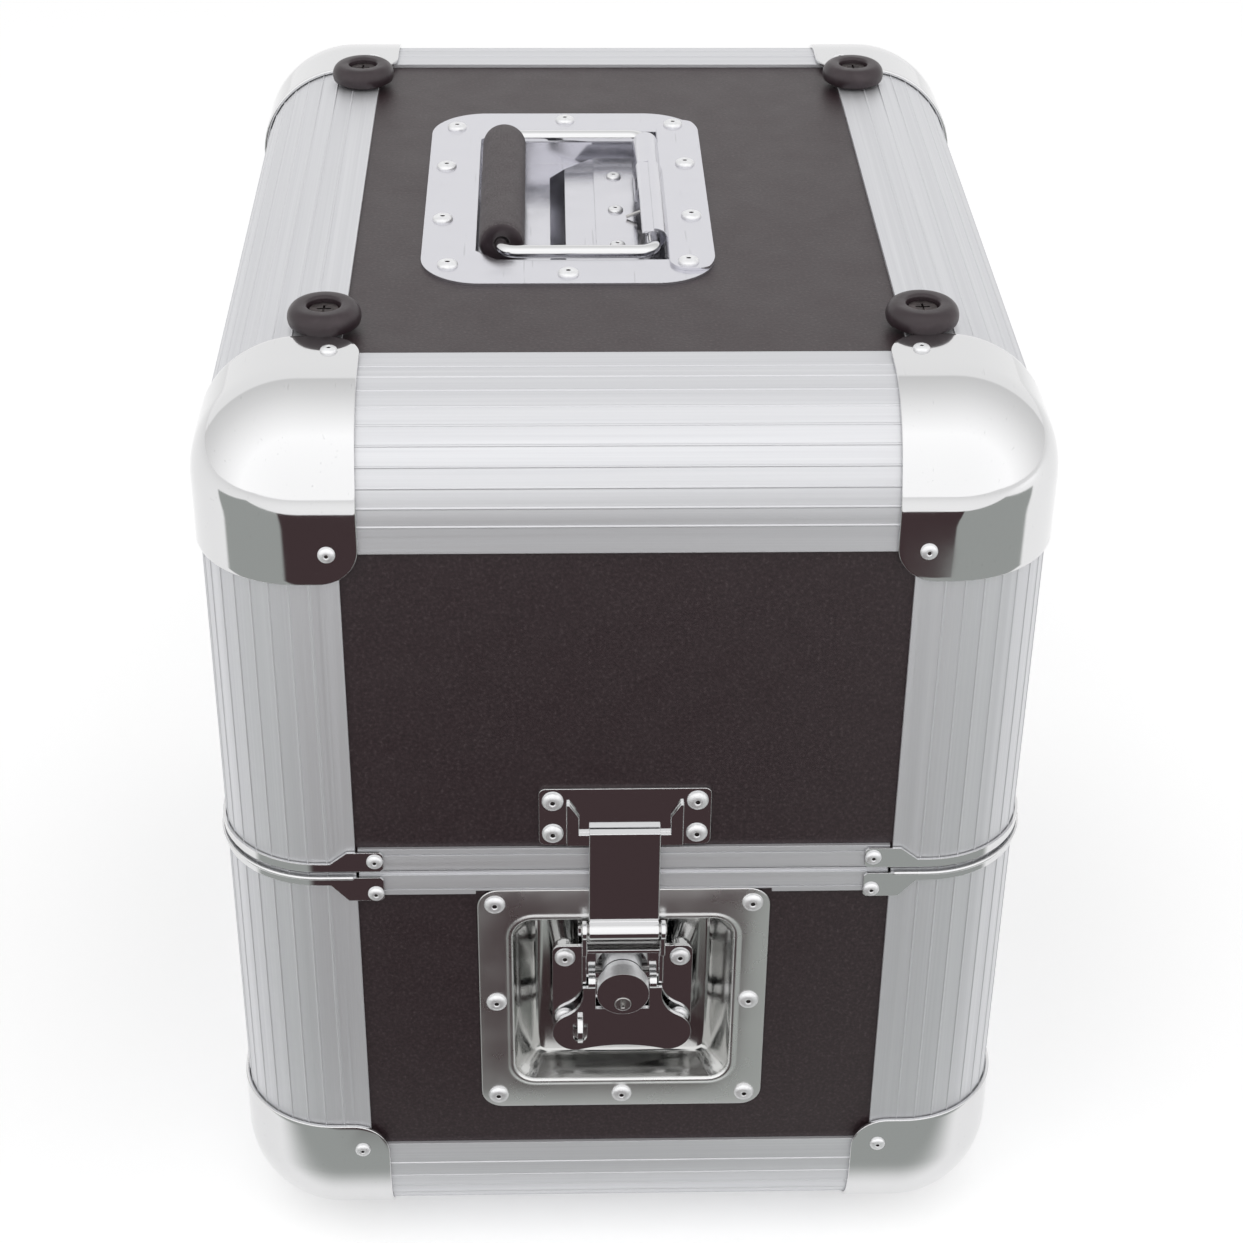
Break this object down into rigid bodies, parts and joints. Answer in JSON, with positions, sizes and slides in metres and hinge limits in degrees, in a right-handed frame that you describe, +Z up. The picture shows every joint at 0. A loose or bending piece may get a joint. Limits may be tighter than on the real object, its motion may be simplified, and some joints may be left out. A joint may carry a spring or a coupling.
{
  "type": "record carrying case",
  "caption": "Upright hard case in two equal halves with ribbed metal edges, chromed corners, a recessed turn latch, a sprung lid handle and rubber feet on both ends.",
  "frame": {"origin": "centre of the underside of the bounding box of the closed case, on the plane of the lower feet", "axes": "+Z up, +Y from the latch at the front to the hinges at the back, +X to the right seen from the front"},
  "size_m": [0.3018, 0.3908, 0.387],
  "materials": {
    "laminate": "dark brown laminate, fine speckle, satin",
    "aluminium": "ribbed extrusion, satin",
    "chrome": "polished",
    "nickel": "bright plated sheet",
    "rivet_steel": "bright",
    "steel": "plain steel",
    "rubber": "matt black",
    "grip": "matt dark grey",
    "foam": "foam sheet"
  },
  "bodies": {
    "base": {"base_front_panel": "laminate", "base_back_panel": "laminate", "base_left_panel": "laminate", "base_right_panel": "laminate", "base_bottom_panel": "laminate", "base_front_edge": "aluminium", "base_back_edge": "aluminium", "base_left_edge": "aluminium", "base_right_edge": "aluminium", "base_upright_edges": "aluminium", "base_corner_caps": "chrome", "base_corner_braces": "chrome", "base_closing_strips": "aluminium", "base_rivets": "rivet_steel", "base_floor_pad": "foam", "base_feet": "rubber", "base_foot_screws": "rivet_steel", "latch_dish": "chrome", "latch_rivets": "rivet_steel", "latch_base_plate": "chrome", "hinge_base_leaves": "nickel", "hinge_pins": "steel"},
    "latch_rotor": {"latch_barrel": "chrome", "latch_cam": "steel", "wing_pin": "steel"},
    "wing": {"latch_wing": "chrome"},
    "key": {"key_plug": "steel"},
    "draw_link": {"draw_link": "chrome", "hook_pin": "steel"},
    "hook": {"hook": "chrome"},
    "lid": {"lid_front_panel": "laminate", "lid_back_panel": "laminate", "lid_left_panel": "laminate", "lid_right_panel": "laminate", "lid_top_panel": "laminate", "lid_front_edge": "aluminium", "lid_back_edge": "aluminium", "lid_left_edge": "aluminium", "lid_right_edge": "aluminium", "lid_upright_edges": "aluminium", "lid_corner_caps": "chrome", "lid_corner_braces": "chrome", "lid_closing_strips": "aluminium", "lid_rivets": "rivet_steel", "lid_top_pad": "foam", "lid_feet": "rubber", "lid_foot_screws": "rivet_steel", "keeper_plate": "chrome", "keeper_rivets": "rivet_steel", "hinge_lid_leaves": "nickel", "handle_dish": "nickel", "handle_rivets": "rivet_steel", "handle_cover": "nickel", "handle_strip": "nickel", "handle_spring": "steel"},
    "carry_handle": {"handle_bail": "chrome", "handle_grip": "grip"}
  },
  "joints": [
    {"name": "lid_hinge", "type": "hinge", "parent": "base", "child": "lid", "pos_m": [0, 0.192, 0.1935], "axis": [-1, 0, 0], "range_deg": [0, 180]},
    {"name": "latch_turn", "type": "hinge", "parent": "base", "child": "latch_rotor", "pos_m": [0, -0.188, 0.1375], "axis": [0, 1, 0], "range_deg": [0, 180]},
    {"name": "wing_fold", "type": "hinge", "parent": "latch_rotor", "child": "wing", "pos_m": [0, -0.184, 0.1375], "axis": [-1, 0, 0], "range_deg": [0, 90]},
    {"name": "key_turn", "type": "hinge", "parent": "latch_rotor", "child": "key", "pos_m": [0, -0.188, 0.1327], "axis": [0, 1, 0], "range_deg": [0, 90]},
    {"name": "latch_lift", "type": "slide", "parent": "base", "child": "draw_link", "axis": [0, 0, 1], "range_m": [0, 0.0065]},
    {"name": "hook_swing", "type": "hinge", "parent": "draw_link", "child": "hook", "pos_m": [0, -0.1918, 0.1685], "axis": [1, 0, 0], "range_deg": [0, 100]},
    {"name": "handle_lift", "type": "hinge", "parent": "lid", "child": "carry_handle", "pos_m": [0.013, 0, 0.3785], "axis": [0, 1, 0], "range_deg": [0, 90], "stiffness_Nm_per_rad": 0.15, "springref_deg": -20.05}
  ],
  "couplings": [
    {"joint": "latch_turn", "follows": "latch_lift", "rad_per_m": 483.32},
    {"joint": "wing_fold", "follows": "latch_lift", "rad_per_m": 241.66}
  ]
}
